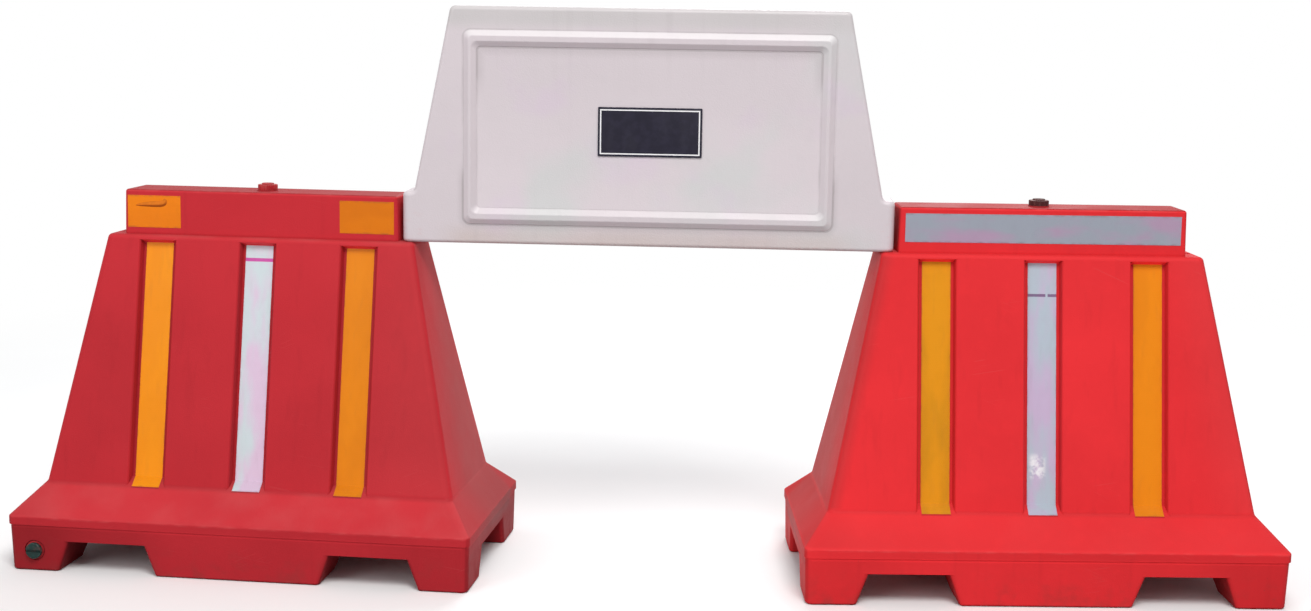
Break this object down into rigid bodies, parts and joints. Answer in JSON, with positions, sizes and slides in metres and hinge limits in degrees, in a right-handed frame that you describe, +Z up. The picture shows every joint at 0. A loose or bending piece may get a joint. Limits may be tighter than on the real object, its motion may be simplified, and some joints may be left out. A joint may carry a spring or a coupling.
{
  "type": "road barrier",
  "caption": "Water-fillable road barrier row: tapered hollow units with fork gaps, taped grooves and screw caps, bridged by a lift-off display panel on swivel pins.",
  "frame": {"origin": "on the ground, at the middle of the whole row's box", "axes": "+X along the row to the right, +Y to the back, +Z up"},
  "size_m": [2.6807, 0.5694, 1.2],
  "materials": {
    "left_moulding": "satin moulded polyethylene",
    "right_moulding": "satin moulded polyethylene",
    "panel": "satin moulded polyethylene",
    "orange_tape": "retroreflective sheet",
    "white_tape": "retroreflective sheet",
    "silver_tape": "retroreflective sheet",
    "left_cap": "moulded",
    "right_cap": "moulded",
    "insert": "moulded",
    "plug": "moulded",
    "seal": "matt",
    "pin": "galvanised"
  },
  "bodies": {
    "left_barrier": {"left_barrier_shell": "left_moulding", "left_filler_collar": "insert", "left_drain_bush": "insert", "left_drain_side_tape_1": "orange_tape", "left_drain_side_tape_2": "white_tape", "left_drain_side_tape_3": "orange_tape", "left_far_side_tape_1": "orange_tape", "left_far_side_tape_2": "white_tape", "left_far_side_tape_3": "orange_tape", "left_short_strip_1": "orange_tape", "left_short_strip_2": "orange_tape", "left_long_strip": "silver_tape"},
    "left_link_pin": {"left_link_pin": "pin"},
    "panel": {"panel_shell": "panel"},
    "right_barrier": {"right_barrier_shell": "right_moulding", "right_filler_collar": "insert", "right_drain_bush": "insert", "right_drain_side_tape_1": "orange_tape", "right_drain_side_tape_2": "white_tape", "right_drain_side_tape_3": "orange_tape", "right_far_side_tape_1": "orange_tape", "right_far_side_tape_2": "white_tape", "right_far_side_tape_3": "orange_tape", "right_short_strip_1": "orange_tape", "right_short_strip_2": "orange_tape", "right_long_strip": "silver_tape", "right_link_pin": "pin"},
    "left_filler_gasket": {"left_filler_gasket": "seal"},
    "left_filler_cap": {"left_filler_cap": "left_cap"},
    "left_drain_seal": {"left_drain_seal": "seal"},
    "left_drain_plug": {"left_drain_plug": "plug"},
    "right_filler_gasket": {"right_filler_gasket": "seal"},
    "right_filler_cap": {"right_filler_cap": "right_cap"},
    "right_drain_seal": {"right_drain_seal": "seal"},
    "right_drain_plug": {"right_drain_plug": "plug"}
  },
  "joints": [
    {"name": "left_swivel", "type": "hinge", "parent": "left_barrier", "child": "left_link_pin", "pos_m": [-0.506, -0.02232, 0.704], "axis": [0, 0, 1], "range_deg": [-12, 4]},
    {"name": "right_swivel", "type": "hinge", "parent": "left_link_pin", "child": "right_barrier", "pos_m": [0.506, -0.02232, 0.704], "axis": [0, 0, 1], "range_deg": [-12, 4]},
    {"name": "panel_lift", "type": "slide", "parent": "left_link_pin", "child": "panel", "axis": [0, 0, 1], "range_m": [0, 0.12]},
    {"name": "left_filler_rise", "type": "slide", "parent": "left_barrier", "child": "left_filler_gasket", "axis": [0, 0, 1], "range_m": [0, 0.008]},
    {"name": "left_filler_turn", "type": "hinge", "parent": "left_filler_gasket", "child": "left_filler_cap", "pos_m": [-0.82522, 0, 0.8], "axis": [0, 0, 1], "range_deg": [0, 721]},
    {"name": "left_drain_out", "type": "slide", "parent": "left_barrier", "child": "left_drain_seal", "axis": [-0.0698, -0.9976, 0], "range_m": [0, 0.015]},
    {"name": "left_drain_turn", "type": "hinge", "parent": "left_drain_seal", "child": "left_drain_plug", "pos_m": [-1.28203, -0.21065, 0.045], "axis": [-0.0698, -0.9976, 0], "range_deg": [0, 2161]},
    {"name": "right_filler_rise", "type": "slide", "parent": "right_barrier", "child": "right_filler_gasket", "axis": [0, 0, 1], "range_m": [0, 0.008]},
    {"name": "right_filler_turn", "type": "hinge", "parent": "right_filler_gasket", "child": "right_filler_cap", "pos_m": [0.82522, 0, 0.8], "axis": [0, 0, 1], "range_deg": [0, 721]},
    {"name": "right_drain_out", "type": "slide", "parent": "right_barrier", "child": "right_drain_seal", "axis": [-0.0698, 0.9976, 0], "range_m": [0, 0.015]},
    {"name": "right_drain_turn", "type": "hinge", "parent": "right_drain_seal", "child": "right_drain_plug", "pos_m": [1.24826, 0.27217, 0.045], "axis": [-0.0698, 0.9976, 0], "range_deg": [0, 2161]}
  ],
  "couplings": [
    {"joint": "left_filler_turn", "follows": "left_filler_rise", "rad_per_m": 1570.8},
    {"joint": "left_drain_turn", "follows": "left_drain_out", "rad_per_m": 2513.3},
    {"joint": "right_filler_turn", "follows": "right_filler_rise", "rad_per_m": 1570.8},
    {"joint": "right_drain_turn", "follows": "right_drain_out", "rad_per_m": 2513.3}
  ]
}
